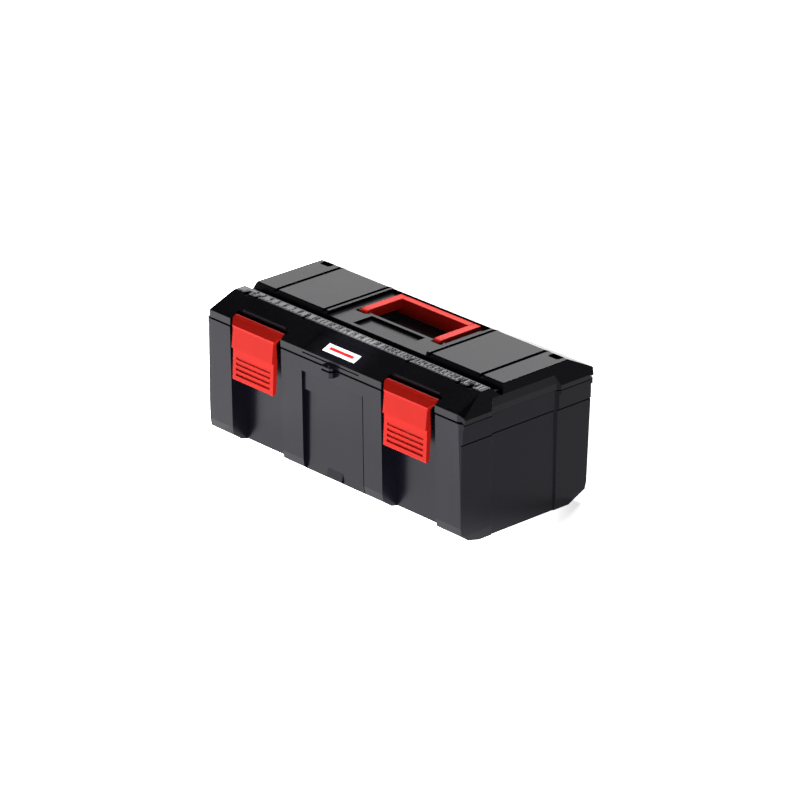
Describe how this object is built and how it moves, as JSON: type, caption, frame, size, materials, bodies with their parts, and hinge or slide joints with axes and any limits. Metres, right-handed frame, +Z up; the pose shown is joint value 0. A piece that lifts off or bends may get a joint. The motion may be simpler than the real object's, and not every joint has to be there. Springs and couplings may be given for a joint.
{
  "type": "toolbox with tray",
  "caption": "Black plastic toolbox with a hinged lid, red swing-up latches, a red folding handle in the lid, a ruler ledge with a clamping groove, and a lift-out tray.",
  "frame": {"origin": "on the floor under the middle of the flat bottom", "axes": "+X along the length to the viewer's right when facing the latches, -Y out of the front with the latches, +Z up"},
  "size_m": [0.336, 0.1708, 0.1372],
  "materials": {
    "body_plastic": "fine-grained moulded polypropylene",
    "lid_plastic": "fine-grained moulded polypropylene",
    "red_plastic": "semi-gloss moulded",
    "handle_plastic": "semi-gloss moulded",
    "steel": "drawn wire",
    "tray_plastic": "moulded polypropylene",
    "label": "printed film"
  },
  "bodies": {
    "box": {"body_shell": "body_plastic", "hinge_pin_left": "steel", "hinge_pin_right": "steel"},
    "lid": {"lid_shell": "lid_plastic", "label_plate": "label", "latch_pin_left": "steel", "latch_pin_right": "steel", "handle_pin_left": "steel", "handle_pin_right": "steel"},
    "left_latch": {"latch_left": "red_plastic"},
    "right_latch": {"latch_right": "red_plastic"},
    "handle": {"carry_handle": "handle_plastic"},
    "tray_set": {"tray": "tray_plastic", "tray_grip": "red_plastic", "tray_divider_left": "tray_plastic", "tray_divider_right": "tray_plastic"}
  },
  "joints": [
    {"name": "lid_hinge", "type": "hinge", "parent": "box", "child": "lid", "pos_m": [0, 0.082, 0.117], "axis": [-1, 0, 0], "range_deg": [0, 100]},
    {"name": "left_latch_swing", "type": "hinge", "parent": "lid", "child": "left_latch", "pos_m": [-0.1, -0.0725, 0.1242], "axis": [-1, 0, 0], "range_deg": [0, 100]},
    {"name": "right_latch_swing", "type": "hinge", "parent": "lid", "child": "right_latch", "pos_m": [0.1, -0.0725, 0.1242], "axis": [-1, 0, 0], "range_deg": [0, 100]},
    {"name": "handle_swing", "type": "hinge", "parent": "lid", "child": "handle", "pos_m": [0, 0.0075, 0.131], "axis": [1, 0, 0], "range_deg": [0, 90]},
    {"name": "tray_lift", "type": "slide", "parent": "box", "child": "tray_set", "axis": [0, 0, 1], "range_m": [0, 0.035]}
  ],
  "couplings": [
    {"joint": "tray_lift", "follows": "lid_hinge", "m_per_rad": 0.02}
  ]
}
